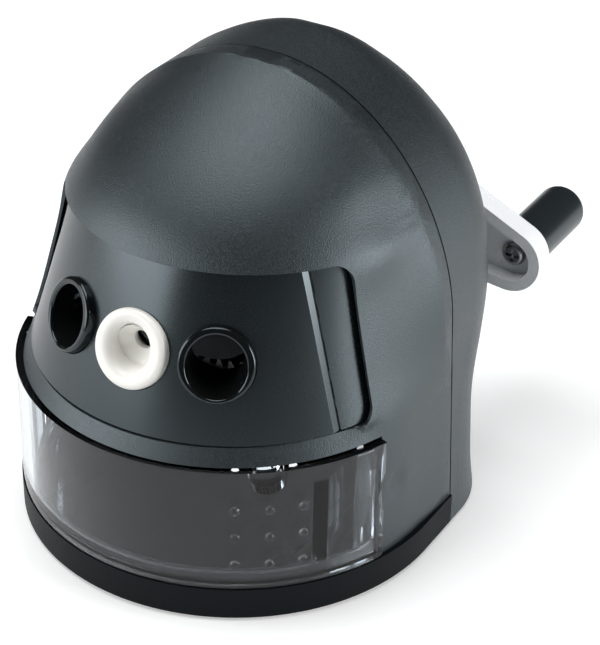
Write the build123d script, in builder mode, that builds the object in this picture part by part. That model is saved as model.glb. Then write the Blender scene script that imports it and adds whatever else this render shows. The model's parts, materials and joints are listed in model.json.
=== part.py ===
import os
from math import acos, atan, atan2, cos, exp, hypot, pi, radians, sin, sqrt, tan

from build123d import *

os.makedirs("parts", exist_ok=True)

# Driving sizes, all in millimetres or degrees
body_half = 44.6
arch_width = 42.4
body_height = 95.0
arch_spring = 45.0
base_top = 7.5
foot_lift = 0.8
drawer_r = 44.4
drawer_top = 34.7
drawer_half_deg = 72.0
seam_set = 11.0
shell_wall = 2.2

# Lean of the dome's front in the middle plane, from the window's lower edge upwards
skirt_r = 44.0
lean_r = 42.3
lean_slope = 0.313
lean_curve = 0.0015
crown_curve = 0.0395
crown_r = 31.0
crown_fade = 4.4
dome_shift = 5.0
band_low = 3.0
band_high = 5.0

# Back of the rear shell
back_bulge = 43.0
back_waist = 35.6
back_foot = 38.0
back_level = 20.0
bulge_z = 50.0
waist_z = 19.0
corner_r = 22.0

# Selector window and panel
window_low = 38.1
window_high = 69.4
window_deg = 70.0
window_corner = 4.0
window_past = 7.0
cheek_wall = 0.6
cheek_deg = 89.0
slab_drop = 0.95
wing_drop = 1.6
drum_drop = 2.8
panel_in = 4.5
panel_overlap = 1.2
slab_low_deg = 60.0
slab_high_deg = 56.0
wing_deg = 98.0
hole_pitch_deg = 26.5
run_gap = 0.3

# Pencil guides
hole_z = 53.1
bush_flange_r = 7.65
bush_bore_r = 4.05
bush_tube_r = 6.4
ring_flange_r = 7.25
ring_bore_r = 5.65
ring_tube_r = 6.4
guide_proud = 1.3
guide_sink = 1.5
guide_end = 29.0

# Crank
crank_radius = 38.4
crank_drop_deg = 15.5
arm_face = 46.6
arm_thick = 6.0
arm_dish = 3.6
arm_rim = 2.4
hub_r = 13.5
arm_end_r = 7.2
grip_r = 5.3
grip_length = 22.0
grip_gap = 0.4
shaft_r = 3.0
bush_gap = 0.05
bush_r = 5.0

# Cutter head
tilt_deg = 11.3
apex_d = 52.0
ring_teeth = 40
pinion_teeth = 12
gear_front = -9.0
gear_back = -4.0
cutter_r = 5.4
cutter_back = 22.0
cutter_flutes = 10
axle_r = 1.5
carrier_back = 24.0
carrier_r = 14.0
pencil_pass_r = 5.9

# Fasteners
screw_head_r = 2.6
screw_r = 1.4
boss_r = 3.2
foot_r = 5.0

# The frame: x and y are zero in the middle of the whole part, z at the table
grip_start = arm_face + arm_thick + grip_gap
grip_end = grip_start + grip_length
axis_y = -(grip_end - body_half) / 2
seam_y = axis_y + seam_set
dome_axis = Axis((0, axis_y, 0), (0, 0, 1))


def arch_half(z, inset):
    """Half-width of the seam arch at height z."""
    if z < arch_spring:
        return body_half - (body_half - arch_width) * z / arch_spring - inset
    rise = (z - arch_spring) / (body_height - inset - arch_spring)
    return (arch_width - inset) * sqrt(max(1 - rise**2, 0.0))


def front_reach(z, inset):
    """How far the front stands ahead of the dome axis at height z, a wall's depth inside it."""
    lift = z - window_low
    if lift < 0:
        steep = lean_slope if lean_r - lean_slope * lift < skirt_r else 0.0
        return min(lean_r - lean_slope * lift, skirt_r) - inset * hypot(1, steep)
    crown = max(z - window_high, 0.0)
    steep = lean_slope + 2 * lean_curve * lift + 2 * crown_curve * crown
    reach = lean_r - lean_slope * lift - lean_curve * lift**2 - crown_curve * crown**2
    return reach - inset * hypot(1, min(steep, 1.5))


def back_reach(z, inset):
    """How far the back stands behind the dome axis at height z."""
    if z < waist_z:
        part_way = (waist_z - z) / waist_z
        return back_waist + (back_foot - back_waist) * part_way**2 - inset
    if z < bulge_z:
        part_way = (z - waist_z) / (bulge_z - waist_z)
        return back_waist + (back_bulge - back_waist) * (1 - cos(pi * part_way)) / 2 - inset
    rise = (z - bulge_z) / (body_height - inset - bulge_z)
    return back_level + (back_bulge - inset - back_level) * sqrt(max(1 - rise**2, 0.0))


def arch_heights(inset):
    """Heights of the sections above the spring of the arch."""
    full = body_height - inset - arch_spring
    return [arch_spring + full * sin(radians(t)) for t in (0, 10, 20, 29, 36, 44, 53, 62, 71, 79, 86)]


def front_section(z, inset):
    """Level outline of the front form: front arc, tangents and short straight sides."""
    half = arch_half(z, inset)
    front = axis_y - front_reach(z, inset)
    crease = seam_y - band_low - (band_high - band_low) * max(z - window_low, 0.0) / (body_height - window_low)
    depth = crease - front
    through_r = (half**2 + depth**2) / (2 * depth)
    rise = max(min((z - window_low) / (window_high - window_low), 1.0), 0.0)
    arc_r = front_reach(z, inset) + dome_shift * rise**2
    if z > window_high:
        top_r = front_reach(window_high, inset) + dome_shift
        arc_r = crown_r - inset + (top_r - crown_r + inset) * exp((window_high - z) / crown_fade)
    arc_r = min(arc_r, 0.97 * through_r)
    centre = front + arc_r
    reach = hypot(half, centre - crease)
    turn = atan2(half, centre - crease) - acos(arc_r / reach)
    touch = (arc_r * sin(turn), centre - arc_r * cos(turn))
    with BuildSketch(Plane.XY.offset(z)) as outline:
        with BuildLine():
            ThreePointArc((-touch[0], touch[1]), (0, front), touch)
            Polyline(touch, (half, crease), (half, seam_y), (-half, seam_y), (-half, crease), (-touch[0], touch[1]))
        make_face()
    return outline.sketch


def rear_section(z, inset):
    """Level outline of the rear form: straight sides, round corners and flat back."""
    half = arch_half(z, inset)
    back = axis_y + back_reach(z, inset)
    corner = min(corner_r - inset, 0.9 * half, 0.85 * (back - seam_y))
    with BuildSketch(Plane.XY.offset(z)) as outline:
        with BuildLine():
            Polyline((-half, back - corner), (-half, seam_y), (half, seam_y), (half, back - corner))
            RadiusArc((half, back - corner), (half - corner, back), -corner)
            Line((half - corner, back), (corner - half, back))
            RadiusArc((corner - half, back), (-half, back - corner), -corner)
        make_face()
    return outline.sketch


def meridian(deg):
    """Upright plane through the dome axis, local x outwards and local y up."""
    s = sin(radians(deg))
    c = cos(radians(deg))
    return Plane((0, axis_y, 0), x_dir=(s, -c, 0), z_dir=(-c, -s, 0))


def lean_band(low, high, drop_out, drop_in):
    """Outline between two depths below the dome's leaning front, for turning round the dome axis."""
    mid = (low + high) / 2
    outer = [(front_reach(z, drop_out), z) for z in (low, mid, high)]
    inner = [(front_reach(z, drop_in), z) for z in (high, mid, low)]
    ThreePointArc(*outer)
    Line(outer[2], inner[0])
    ThreePointArc(*inner)
    Line(inner[2], outer[0])


# Outer and inner forms of the two shells
low_front = [base_top, 14.0, 21.0, 28.0, 34.0, 39.0]
with BuildPart() as front_form:
    loft([front_section(z, 0) for z in low_front + arch_heights(0)])

with BuildPart() as front_void:
    loft([front_section(z, shell_wall) for z in [base_top - 1] + low_front[1:] + arch_heights(shell_wall)])

low_rear = [foot_lift, base_top, 13.0, waist_z, 25.0, 31.0, 38.0]
with BuildPart() as rear_form:
    loft([rear_section(z, 0) for z in low_rear + arch_heights(0)])

with BuildPart() as rear_void:
    loft([rear_section(z, shell_wall) for z in [0.0] + low_rear[1:] + arch_heights(shell_wall)])

# Window cut with round corners
with BuildPart() as window_cut:
    with BuildSketch(meridian(-window_deg)):
        with BuildLine():
            lean_band(window_low, window_high, -window_past, 2 * panel_in)
        make_face()
    revolve(axis=dome_axis, revolution_arc=2 * window_deg)
    fillet(window_cut.edges().filter_by(GeomType.LINE), window_corner)

# Space behind the cheeks, deep enough for the slab and further round for the wings
window_heights = [window_low + 0.05 + (window_high - window_low - 0.1) * k / 5 for k in range(6)]
with BuildPart() as slab_pocket:
    with BuildSketch(meridian(-cheek_deg)):
        with BuildLine():
            lean_band(window_low, window_high, -window_past, 2 * panel_in)
        make_face()
    revolve(axis=dome_axis, revolution_arc=2 * cheek_deg)
    loft([front_section(z, cheek_wall) for z in window_heights], mode=Mode.INTERSECT)

with BuildPart() as wing_pocket:
    loft([front_section(z, wing_drop - run_gap) for z in window_heights])

# Groove round the front shell at the seam
groove_wide = 0.4
groove_deep = 0.6
with BuildPart() as seam_groove:
    add(front_form.part)
    with Locations((0, seam_y - groove_wide - body_height, 0)):
        Box(2 * body_height, 2 * body_height, 3 * body_height, mode=Mode.SUBTRACT)
    loft([front_section(z, groove_deep) for z in [base_top - 1] + low_front[1:] + arch_heights(groove_deep)],
         mode=Mode.SUBTRACT)

# Finger scoops
scoop_r = 15.0
scoop_z = 23.0
scoop_y = axis_y - 12.2
scoop_x = body_half + scoop_r - 3.2
scoop_at = [(side * scoop_x, scoop_y, scoop_z) for side in (-1, 1)]

# Upper screw bosses that join the shells
case_x = 22.0
case_z = 76.0
case_front = seam_y - 9.0

front_boss_at = [(side * (body_half - 4.8), seam_y - 5) for side in (-1, 1)]
rear_boss_at = [(side * 35.0, axis_y + 26.5) for side in (-1, 1)]
front_wall = 1.6
rail_low = window_low - panel_overlap - run_gap
rail_high = window_high + panel_overlap + run_gap
with BuildPart() as front_shell:
    add(front_form.part)
    add(front_void.part, mode=Mode.SUBTRACT)
    # shelf and roof rails that carry the selector, with lips behind it
    with BuildSketch(meridian(-112)):
        shelf_r = front_reach(rail_low + 2, panel_in) - 2 * run_gap
        roof_r = front_reach(rail_high, panel_in) - 0.4
        with BuildLine():
            Polyline(
                (front_reach(rail_low, -window_past), rail_low),
                (shelf_r, rail_low),
                (shelf_r, rail_low + 2),
                (shelf_r - 1.2, rail_low + 2),
                (shelf_r - 1.2, rail_low - front_wall),
                (front_reach(rail_low, -window_past), rail_low - front_wall),
                close=True,
            )
        make_face()
        with BuildLine():
            Polyline(
                (front_reach(rail_high, -window_past), rail_high),
                (roof_r, rail_high),
                (roof_r, rail_high - 1.6),
                (roof_r - 1.2, rail_high - 1.6),
                (roof_r - 1.2, rail_high + front_wall),
                (front_reach(rail_high, -window_past), rail_high + front_wall),
                close=True,
            )
        make_face()
    revolve(axis=dome_axis, revolution_arc=224)
    # pads behind the finger scoops
    with Locations(scoop_at):
        Sphere(scoop_r + 2)
    # bosses with webs up to the roof
    with Locations([(side * case_x, (case_front + seam_y) / 2, case_z) for side in (-1, 1)]):
        Cylinder(boss_r, seam_y - case_front, rotation=(90, 0, 0))
    with Locations([(side * case_x, (case_front + seam_y) / 2, case_z + 8) for side in (-1, 1)]):
        Box(1.8, seam_y - case_front, 16)
    with Locations([(x, y, base_top + 4.5) for x, y in front_boss_at]):
        Cylinder(2.9, 9)
    add(front_form.part, mode=Mode.INTERSECT)
    with Locations(scoop_at):
        Sphere(scoop_r, mode=Mode.SUBTRACT)
    with Locations([(side * case_x, seam_y - 4, case_z) for side in (-1, 1)]):
        Cylinder(screw_r, 10, rotation=(90, 0, 0), mode=Mode.SUBTRACT)
    with Locations([(x, y, base_top + 2.25) for x, y in front_boss_at]):
        Cylinder(screw_r, 6.5, mode=Mode.SUBTRACT)
    # pocket behind the cheeks, window and drawer opening
    add(wing_pocket.part, mode=Mode.SUBTRACT)
    add(slab_pocket.part, mode=Mode.SUBTRACT)
    add(window_cut.part, mode=Mode.SUBTRACT)
    add(seam_groove.part, mode=Mode.SUBTRACT)
    with BuildSketch(meridian(-drawer_half_deg)):
        with BuildLine():
            Polyline((25, 0), (60, 0), (60, drawer_top + run_gap), (25, drawer_top + run_gap), close=True)
        make_face()
    revolve(axis=dome_axis, revolution_arc=2 * drawer_half_deg, mode=Mode.SUBTRACT)
front_shell.part.label = "front_shell"
export_step(front_shell.part, "parts/front_shell.step")

# Rear shell with the long case bosses, the frame bosses and the base bosses
frame_back = 33.0
frame_boss_ring = 18.0
case_seat = seam_y + 5.0
frame_boss_at = [
    (frame_boss_ring * cos(radians(t)), hole_z + frame_boss_ring * sin(radians(t))) for t in (90, 210, 330)
]
with BuildPart() as rear_shell:
    add(rear_form.part)
    add(rear_void.part, mode=Mode.SUBTRACT)
    with Locations([(side * case_x, seam_y + 15, case_z) for side in (-1, 1)]):
        Cylinder(boss_r + 1, 30, rotation=(90, 0, 0))
    with Locations([(x, axis_y + frame_back + 6, z) for x, z in frame_boss_at]):
        Cylinder(boss_r + 0.4, 12, rotation=(90, 0, 0))
    with Locations([(0, axis_y + frame_back + 5, hole_z)]):
        Cylinder(bush_r + 2, 10, rotation=(90, 0, 0))
    with Locations([(x, y, 8.6) for x, y in rear_boss_at]):
        Cylinder(boss_r, 10.8)
    add(rear_form.part, mode=Mode.INTERSECT)
    with Locations([(side * case_x, seam_y + 20, case_z) for side in (-1, 1)]):
        Cylinder(screw_r, 50, rotation=(90, 0, 0), mode=Mode.SUBTRACT)
    with Locations([(side * case_x, case_seat + 20, case_z) for side in (-1, 1)]):
        Cylinder(screw_head_r + 0.4, 40, rotation=(90, 0, 0), mode=Mode.SUBTRACT)
    with Locations([(x, axis_y + frame_back + 3, z) for x, z in frame_boss_at]):
        Cylinder(screw_r, 6, rotation=(90, 0, 0), mode=Mode.SUBTRACT)
    with Locations([(0, axis_y + frame_back + 8, hole_z)]):
        Cylinder(bush_r, 20, rotation=(90, 0, 0), mode=Mode.SUBTRACT)
    with Locations([(x, y, 7.0) for x, y in rear_boss_at]):
        Cylinder(screw_r, 10, mode=Mode.SUBTRACT)
rear_shell.part.label = "rear_shell"
export_step(rear_shell.part, "parts/rear_shell.step")

# Base ring and floor plate with the drawer rails
floor_thick = 2.4
floor_top = foot_lift + floor_thick
foot_at = [(side * 27.0, axis_y - 22.0) for side in (-1, 1)] + [(side * 24.0, axis_y + 24.0) for side in (-1, 1)]
with BuildPart() as base_plate:
    with BuildSketch(Plane.XY.offset(foot_lift)):
        with BuildLine():
            ThreePointArc((-body_half, axis_y), (0, axis_y - body_half), (body_half, axis_y))
            Polyline((body_half, axis_y), (body_half, seam_y), (-body_half, seam_y), (-body_half, axis_y))
        make_face()
    extrude(amount=base_top - foot_lift)
    with BuildSketch(Plane.XY.offset(floor_top)):
        inner_half = body_half - floor_thick
        with BuildLine():
            ThreePointArc((-inner_half, axis_y), (0, axis_y - inner_half), (inner_half, axis_y))
            Polyline((inner_half, axis_y), (inner_half, seam_y), (-inner_half, seam_y), (-inner_half, axis_y))
        make_face()
    extrude(amount=base_top, mode=Mode.SUBTRACT)
    with BuildSketch(Plane.XY.offset(foot_lift)):
        add(rear_section(foot_lift, shell_wall + 1.0))
    extrude(amount=floor_thick)
    with Locations([(side * 24.0, axis_y - 12.0, (floor_top + base_top) / 2) for side in (-1, 1)]):
        Box(2, 44, base_top - floor_top)
    with Locations([(x, y, (floor_top + base_top) / 2) for x, y in front_boss_at]):
        Cylinder(2.9, base_top - floor_top)
    with Locations([(x, y, 5) for x, y in front_boss_at + rear_boss_at]):
        Cylinder(screw_r, 12, mode=Mode.SUBTRACT)
    with Locations([(x, y, foot_lift + 0.75) for x, y in front_boss_at + rear_boss_at]):
        Cylinder(screw_head_r + 0.2, 1.5, mode=Mode.SUBTRACT)
    with Locations([(x, y, foot_lift + 0.35) for x, y in foot_at]):
        Cylinder(foot_r, 0.7, mode=Mode.SUBTRACT)
base_plate.part.label = "base_plate"
export_step(base_plate.part, "parts/base_plate.step")

with BuildPart() as rubber_feet:
    with Locations([(x, y, (foot_lift + 0.7) / 2) for x, y in foot_at]):
        Cylinder(foot_r, foot_lift + 0.7)
    fillet(rubber_feet.edges().group_by(Axis.Z)[0], 0.4)
rubber_feet.part.label = "rubber_feet"
export_step(rubber_feet.part, "parts/rubber_feet.step")


def screw_profile(head_r, head_h, shank_r, length):
    """Half outline of a pan-head screw along y, head on the negative side of its seat."""
    Polyline((0, length), (0, -head_h), (head_r * 0.6, -head_h))
    ThreePointArc((head_r * 0.6, -head_h), (head_r * 0.88, -head_h * 0.78), (head_r, -head_h * 0.4))
    Polyline((head_r, -head_h * 0.4), (head_r, 0), (shank_r, 0), (shank_r, length), (0, length))


def cross_slot(head_r, head_h):
    """Cross recess cut into the top of a screw head."""
    with Locations((0, -head_h, 0)):
        Box(head_r * 1.1, head_h * 0.9, 0.6, mode=Mode.SUBTRACT)
        Box(0.6, head_h * 0.9, head_r * 1.1, mode=Mode.SUBTRACT)


# One small screw along y, used for the case, the frame and the base
with BuildPart() as small_screw:
    with BuildSketch(Plane.XY):
        with BuildLine():
            screw_profile(screw_head_r, 1.4, screw_r, 8.8)
        make_face()
    revolve(axis=Axis.Y)
    cross_slot(screw_head_r, 1.4)

with BuildPart() as base_screws:
    with Locations([Location((x, y, foot_lift + 1.5), (90, 0, 0)) for x, y in front_boss_at + rear_boss_at]):
        add(small_screw.part)
base_screws.part.label = "base_screws"
export_step(base_screws.part, "parts/base_screws.step")

with BuildPart() as case_screws:
    with Locations([Location((side * case_x, case_seat, case_z), (0, 0, 180)) for side in (-1, 1)]):
        add(small_screw.part)
case_screws.part.label = "case_screws"
export_step(case_screws.part, "parts/case_screws.step")

# Mechanism frame: front hoop, two side bars and the rear plate
hoop_in = 19.5
hoop_out = 22.5
plate_front = 30.0
hoop_back = gear_back + 1.0


def crank_plane(d):
    """Plane square to the crank axis at distance d behind the dome axis, facing the front."""
    return Plane((0, axis_y + d, hole_z), x_dir=(1, 0, 0), z_dir=(0, -1, 0))


with BuildPart() as mechanism_frame:
    with BuildSketch(crank_plane(hoop_back)):
        Circle(hoop_out)
        Circle(hoop_in, mode=Mode.SUBTRACT)
    extrude(amount=hoop_back - gear_front)
    with BuildSketch(crank_plane(gear_front)):
        Circle(hoop_out)
        Circle(hoop_in - 0.6, mode=Mode.SUBTRACT)
    extrude(amount=1.5)
    with BuildSketch(crank_plane(frame_back)):
        Circle(hoop_out)
        Circle(bush_r, mode=Mode.SUBTRACT)
    extrude(amount=frame_back - plate_front)
    with BuildSketch(crank_plane(plate_front + 0.5)):
        with Locations((-(hoop_in + hoop_out) / 2, 0), ((hoop_in + hoop_out) / 2, 0)):
            Rectangle(2.2, 11)
    extrude(amount=plate_front + 0.5 - hoop_back + 1)
    with Locations([(x, axis_y + frame_back - 1.5, z) for x, z in frame_boss_at]):
        Cylinder(screw_r, 8, rotation=(90, 0, 0), mode=Mode.SUBTRACT)
mechanism_frame.part.label = "mechanism_frame"
export_step(mechanism_frame.part, "parts/mechanism_frame.step")

with BuildPart() as frame_screws:
    with Locations([Location((x, axis_y + plate_front, z)) for x, z in frame_boss_at]):
        add(small_screw.part)
frame_screws.part.label = "frame_screws"
export_step(frame_screws.part, "parts/frame_screws.step")

# Bevel gearing: every flank runs through the apex on the crank axis
tilt = radians(tilt_deg)
pinion_cone = atan2(sin(tilt), ring_teeth / pinion_teeth - cos(tilt))
ring_cone = pinion_cone + tilt
addendum = 0.7
dedendum = 0.95
tooth_share = 0.40
flank = tan(radians(20))


def tooth_points(pitch_r, teeth, out_add, in_add, half_share):
    """Straight-flanked outline of a toothed wheel, one tooth on local y."""
    module = 2 * pitch_r / teeth
    pitch = pi * module
    out_r = pitch_r + out_add * module
    in_r = pitch_r - in_add * module
    out_half = (half_share * pitch - out_add * module * flank) / out_r
    in_half = (half_share * pitch + in_add * module * flank) / in_r
    points = []
    for i in range(teeth):
        mid = pi / 2 + 2 * pi * i / teeth
        for r, a in ((in_r, -in_half), (out_r, -out_half), (out_r, out_half), (in_r, in_half)):
            points.append((r * cos(mid + a), r * sin(mid + a)))
    return points


def ring_space(d):
    """Toothed opening of the ring gear at distance d behind the dome axis."""
    pitch_r = (apex_d - d) * tan(ring_cone)
    with BuildSketch(crank_plane(d)) as opening:
        with BuildLine():
            Polyline(*tooth_points(pitch_r, ring_teeth, dedendum, addendum, (1 - tooth_share) / 2), close=True)
        make_face()
    return opening.sketch


def cutter_plane(d):
    """Plane square to the cutter axis, whose centre is d behind the dome axis."""
    away = (apex_d - d) / cos(tilt)
    centre = (0, axis_y + d, hole_z + away * sin(tilt))
    return Plane(centre, x_dir=(1, 0, 0), z_dir=(0, -cos(tilt), sin(tilt)))


def pinion_outline(d):
    """Toothed outline of the pinion square to the cutter axis."""
    pitch_r = (apex_d - d) / cos(tilt) * tan(pinion_cone)
    with BuildSketch(cutter_plane(d)) as wheel:
        with BuildLine():
            Polyline(*tooth_points(pitch_r, pinion_teeth, addendum, dedendum, tooth_share / 2), close=True)
        make_face()
    return wheel.sketch


with BuildPart() as ring_gear:
    with BuildSketch(crank_plane(gear_back)):
        Circle(hoop_in)
    extrude(amount=gear_back - gear_front)
    loft([ring_space(gear_back + 0.5), ring_space(gear_front - 0.5)], ruled=True, mode=Mode.SUBTRACT)
ring_gear.part.label = "ring_gear"
export_step(ring_gear.part, "parts/ring_gear.step")

with BuildPart() as cutter_pinion:
    loft([pinion_outline(gear_back), pinion_outline(gear_front)], ruled=True)
    with BuildSketch(cutter_plane(gear_back + 2)):
        Circle(axle_r + bush_gap)
    extrude(amount=12, mode=Mode.SUBTRACT)
cutter_pinion.part.label = "cutter_pinion"
export_step(cutter_pinion.part, "parts/cutter_pinion.step")


def flute_outline(d, turn_deg):
    """Saw-toothed section of the helical cutter."""
    points = []
    for i in range(cutter_flutes):
        start = radians(turn_deg) + 2 * pi * i / cutter_flutes
        points.append((cutter_r * cos(start), cutter_r * sin(start)))
        low = start + 0.35 * 2 * pi / cutter_flutes
        points.append(((cutter_r - 1.0) * cos(low), (cutter_r - 1.0) * sin(low)))
    with BuildSketch(cutter_plane(d)) as section:
        with BuildLine():
            Polyline(*points, close=True)
        make_face()
    return section.sketch


cutter_steps = 5
cutter_twist = 55.0
with BuildPart() as helical_cutter:
    loft([
        flute_outline(gear_back + (cutter_back - gear_back) * k / cutter_steps, cutter_twist * k / cutter_steps)
        for k in range(cutter_steps + 1)
    ])
    with BuildSketch(cutter_plane(cutter_back + 3)):
        Circle(axle_r + bush_gap)
    extrude(amount=cutter_back - gear_back + 12, mode=Mode.SUBTRACT)
helical_cutter.part.label = "helical_cutter"
export_step(helical_cutter.part, "parts/helical_cutter.step")

# Carrier that swings the cutter round the pencil
carrier_nose = gear_front - 4.5
with BuildPart() as cutter_carrier:
    with BuildSketch(crank_plane(carrier_nose + 2.4)):
        Circle(carrier_r)
        Circle(pencil_pass_r, mode=Mode.SUBTRACT)
    extrude(amount=2.4)
    with BuildSketch(crank_plane(carrier_back + 4)):
        Circle(carrier_r)
    extrude(amount=4)
    with BuildSketch(crank_plane(carrier_back + 1)):
        with Locations((-11.6, 0), (11.6, 0)):
            Rectangle(3, 6)
    extrude(amount=carrier_back + 1 - carrier_nose - 1)
    with Locations([(0, axis_y + carrier_back + 2, hole_z)]):
        Cylinder(shaft_r, 4, rotation=(90, 0, 0), mode=Mode.SUBTRACT)
    with BuildSketch(cutter_plane(carrier_back + 3)):
        Circle(axle_r)
    extrude(amount=carrier_back - carrier_nose + 2, mode=Mode.SUBTRACT)
cutter_carrier.part.label = "cutter_carrier"
export_step(cutter_carrier.part, "parts/cutter_carrier.step")

with BuildPart() as cutter_axle:
    with BuildSketch(cutter_plane(carrier_back + 3)):
        Circle(axle_r)
    extrude(amount=carrier_back - carrier_nose + 2)
    chamfer(cutter_axle.edges().filter_by(GeomType.CIRCLE), 0.3)
cutter_axle.part.label = "cutter_axle"
export_step(cutter_axle.part, "parts/cutter_axle.step")

# Rear bearing bush, shaft and crank
bush_start = carrier_back + 4.6
bush_stop = arm_face - 1.6
with BuildPart() as rear_bush:
    with BuildSketch(crank_plane(bush_stop)):
        Circle(bush_r)
        Circle(shaft_r + bush_gap, mode=Mode.SUBTRACT)
    extrude(amount=bush_stop - bush_start)
    with BuildSketch(crank_plane(plate_front)):
        Circle(bush_r + 2.2)
        Circle(shaft_r + bush_gap, mode=Mode.SUBTRACT)
    extrude(amount=plate_front - bush_start)
rear_bush.part.label = "rear_bush"
export_step(rear_bush.part, "parts/rear_bush.step")

arm_back = arm_face + arm_thick
dish_floor = arm_face + arm_dish
with BuildPart() as crank_shaft:
    with BuildSketch(crank_plane(arm_back - 1)):
        Circle(shaft_r)
    extrude(amount=arm_back - 1 - carrier_back)
    with BuildSketch(crank_plane(arm_back)):
        Circle(screw_r)
    extrude(amount=10, mode=Mode.SUBTRACT)
crank_shaft.part.label = "crank_shaft"
export_step(crank_shaft.part, "parts/crank_shaft.step")

drop = radians(crank_drop_deg)
end_x = crank_radius * cos(drop)
end_z = hole_z - crank_radius * sin(drop)


def arm_plane(d):
    """Plane of the crank arm, local x from the hub to the grip, facing the back."""
    return Plane((0, axis_y + d, hole_z), x_dir=(cos(drop), 0, -sin(drop)), z_dir=(0, 1, 0))


with BuildPart() as crank_arm:
    with BuildSketch(arm_plane(arm_face)):
        Circle(hub_r)
        with Locations((crank_radius, 0)):
            Circle(arm_end_r)
        make_hull()
    extrude(amount=arm_thick)
    fillet(crank_arm.edges().group_by(Axis.Y)[-1], 1.2)
    with BuildSketch(arm_plane(arm_face)):
        Circle(hub_r - arm_rim)
        with Locations((crank_radius, 0)):
            Circle(arm_end_r - arm_rim)
        make_hull()
    extrude(amount=arm_dish, mode=Mode.SUBTRACT)
    with BuildSketch(arm_plane(arm_face)):
        Circle(bush_r + 1)
    extrude(amount=arm_thick)
    with BuildSketch(arm_plane(arm_face - 1)):
        Circle(shaft_r)
    extrude(amount=arm_thick, mode=Mode.SUBTRACT)
    with BuildSketch(arm_plane(arm_face)):
        Circle(screw_r)
        with Locations((crank_radius, 0)):
            Circle(axle_r)
    extrude(amount=arm_thick + 1, mode=Mode.SUBTRACT)
crank_arm.part.label = "crank_arm"
export_step(crank_arm.part, "parts/crank_arm.step")

with BuildPart() as crank_screw:
    with Locations(Location((0, axis_y + arm_back, hole_z), (0, 0, 180))):
        add(small_screw.part)
crank_screw.part.label = "crank_screw"
export_step(crank_screw.part, "parts/crank_screw.step")

grip_bore = grip_length - 4.0
with BuildPart() as grip_axle:
    with BuildSketch(Plane((end_x, axis_y + dish_floor, end_z), x_dir=(1, 0, 0), z_dir=(0, 0, 1))):
        with BuildLine():
            screw_profile(screw_head_r, 1.4, axle_r, grip_start - dish_floor + grip_bore - 0.6)
        make_face()
    revolve(axis=Axis((end_x, 0, end_z), (0, 1, 0)))
    with Locations((end_x, axis_y + dish_floor, end_z)):
        cross_slot(screw_head_r, 1.4)
grip_axle.part.label = "grip_axle"
export_step(grip_axle.part, "parts/grip_axle.step")

with BuildPart() as grip:
    with BuildSketch(Plane((end_x, axis_y + grip_end, end_z), x_dir=(1, 0, 0), z_dir=(0, -1, 0))):
        Circle(grip_r)
    extrude(amount=grip_length)
    fillet(grip.edges().group_by(Axis.Y)[-1], 2.2)
    fillet(grip.edges().group_by(Axis.Y)[0], 0.7)
    with BuildSketch(Plane((end_x, axis_y + grip_start, end_z), x_dir=(1, 0, 0), z_dir=(0, 1, 0))):
        Circle(axle_r + bush_gap)
    extrude(amount=grip_bore, mode=Mode.SUBTRACT)
grip.part.label = "grip"
export_step(grip.part, "parts/grip.step")

# Clear shavings drawer
drawer_low = base_top + run_gap
drawer_wall = 2.0
drawer_half = 35.0
drawer_back = 8.0
box_top = hole_z - hoop_out - 2 * run_gap
boss_deg = 40.0
stud_deg = (31.7, 40.2, 48.7)
stud_z = (13.5, 19.8, 26.1)


def round_front(deg, r, z):
    """Point at radius r and turn deg round the dome axis."""
    return (r * sin(radians(deg)), axis_y - r * cos(radians(deg)), z)


with BuildPart() as shavings_drawer:
    with BuildSketch(Plane.XY.offset(drawer_low)):
        with Locations((0, axis_y)):
            Circle(drawer_r - 0.5)
        with Locations((0, axis_y + (drawer_back - drawer_r) / 2)):
            Rectangle(2 * drawer_half, drawer_back + drawer_r, mode=Mode.INTERSECT)
    extrude(amount=box_top - drawer_low)
    with BuildSketch(Plane.XY.offset(drawer_low + 2.4)):
        with Locations((0, axis_y)):
            Circle(drawer_r - drawer_wall)
        with Locations((0, axis_y + (drawer_back - drawer_r) / 2)):
            Rectangle(2 * (drawer_half - 1.8), drawer_back + drawer_r - 3.6, mode=Mode.INTERSECT)
    extrude(amount=box_top, mode=Mode.SUBTRACT)
    with BuildSketch(meridian(-drawer_half_deg + 0.5)):
        with BuildLine():
            Polyline(
                (drawer_r - drawer_wall, drawer_low),
                (drawer_r, drawer_low),
                (drawer_r, drawer_top),
                (drawer_r - drawer_wall, drawer_top),
                close=True,
            )
        make_face()
    revolve(axis=dome_axis, revolution_arc=2 * drawer_half_deg - 1)
    out = (sin(radians(boss_deg)), -cos(radians(boss_deg)), 0)
    with BuildSketch(Plane(round_front(boss_deg, drawer_r - 0.5, drawer_top), x_dir=(-out[1], out[0], 0), z_dir=out)):
        with Locations((0, -1.25)):
            Rectangle(7, 2.5)
        with Locations((0, -2.5)):
            Circle(3.5)
        with Locations((0, 5)):
            Rectangle(20, 10, mode=Mode.SUBTRACT)
    extrude(amount=-5)
    with Locations([round_front(deg, drawer_r - 0.4, z) for deg in stud_deg for z in stud_z]):
        Sphere(1.1)
    with Locations(scoop_at):
        Sphere(scoop_r + 0.2, mode=Mode.SUBTRACT)
shavings_drawer.part.label = "shavings_drawer"
export_step(shavings_drawer.part, "parts/shavings_drawer.step")

# Selector panel: wings on the drum and the raised slab with slanted ends
panel_low = window_low - panel_overlap
panel_high = window_high + panel_overlap
slab_low = window_low + 0.35
slab_high = window_high - 0.35


def slab_end(side):
    """Slanted plane of one end of the slab, facing away from its middle."""
    low = Vector(*round_front(side * slab_low_deg, front_reach(slab_low, slab_drop), slab_low))
    high = Vector(*round_front(side * slab_high_deg, front_reach(slab_high, slab_drop), slab_high))
    inward = Vector(*round_front(side * slab_low_deg, 1, 0)) - Vector(0, axis_y, 0)
    along = high - low
    out = along.cross(inward) * -side
    return Plane(low, x_dir=along, z_dir=out)


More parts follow.
